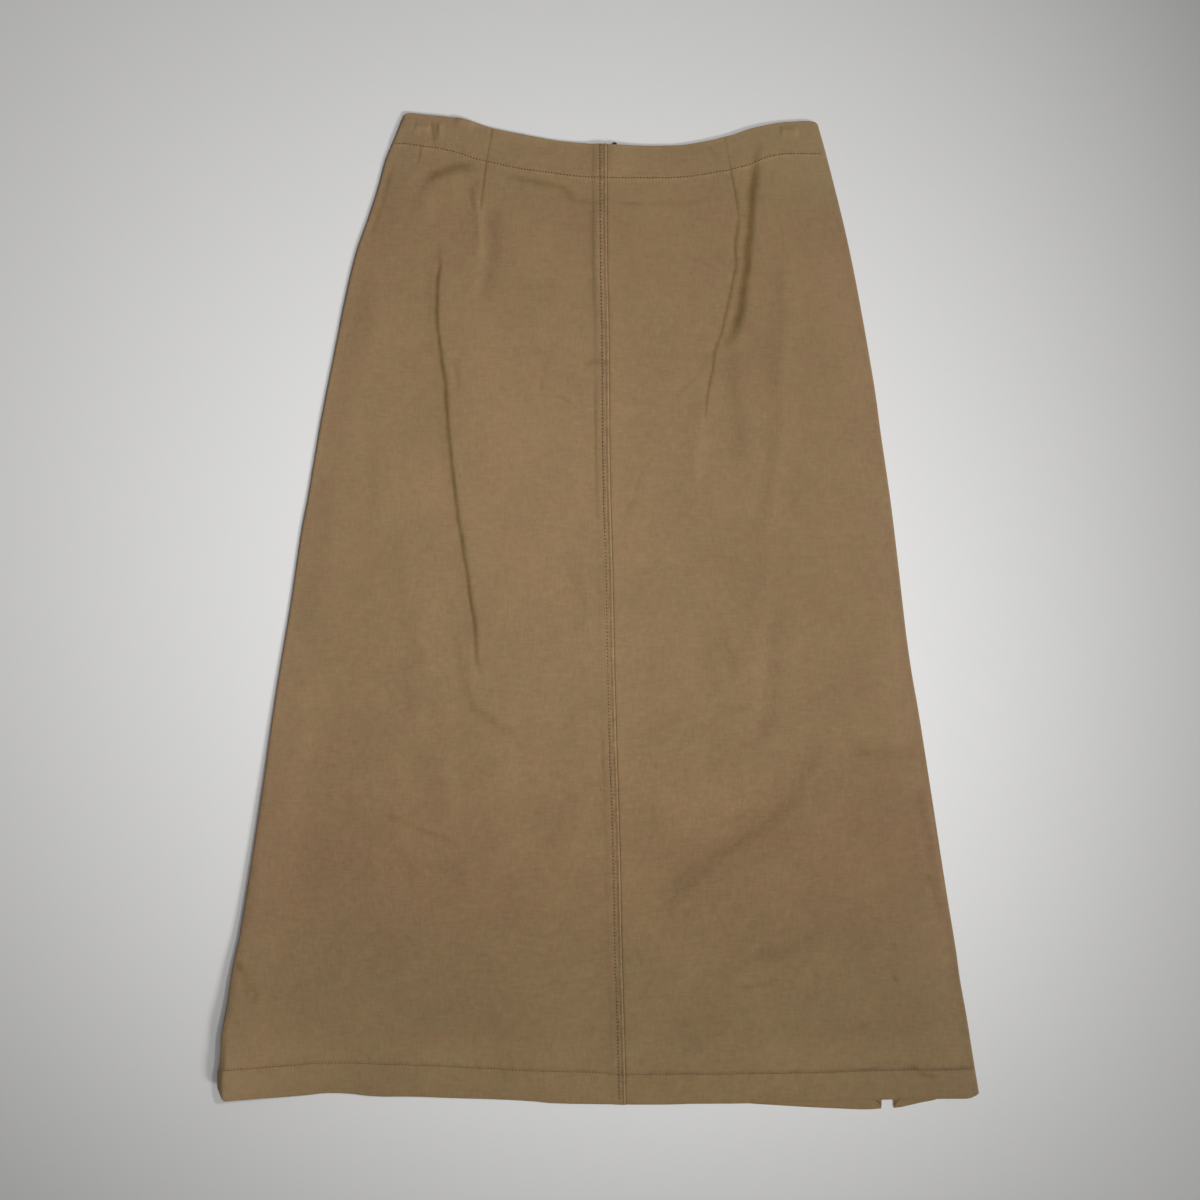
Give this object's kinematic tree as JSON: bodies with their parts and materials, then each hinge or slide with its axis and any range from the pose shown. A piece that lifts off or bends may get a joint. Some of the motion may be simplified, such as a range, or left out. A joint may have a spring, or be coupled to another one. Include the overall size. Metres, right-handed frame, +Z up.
{
  "type": "utility skirt",
  "caption": "Long A-line twill skirt laid flat, with a lapped and topstitched centre seam, waist darts, faced waist, turned hem and a slit at the back hem.",
  "frame": {"origin": "middle of the laid skirt's outline, on the surface it lies on", "axes": "+Y from hem to waist, +X to the viewer's right across the front, +Z up from the surface"},
  "size_m": [0.6693, 0.8767, 0.0132],
  "materials": {
    "twill": "tan cotton twill, washed, matt, thread of the same tan",
    "zip_tape": "tan woven tape with its coil closed",
    "dark_metal": "dark enamelled hook"
  },
  "bodies": {
    "root": {"front_left_panel": "twill", "front_right_panel": "twill", "back_left_panel": "twill", "back_right_panel": "twill", "back_side_panel": "twill", "back_zip": "zip_tape", "waist_hook": "dark_metal"}
  },
  "joints": []
}
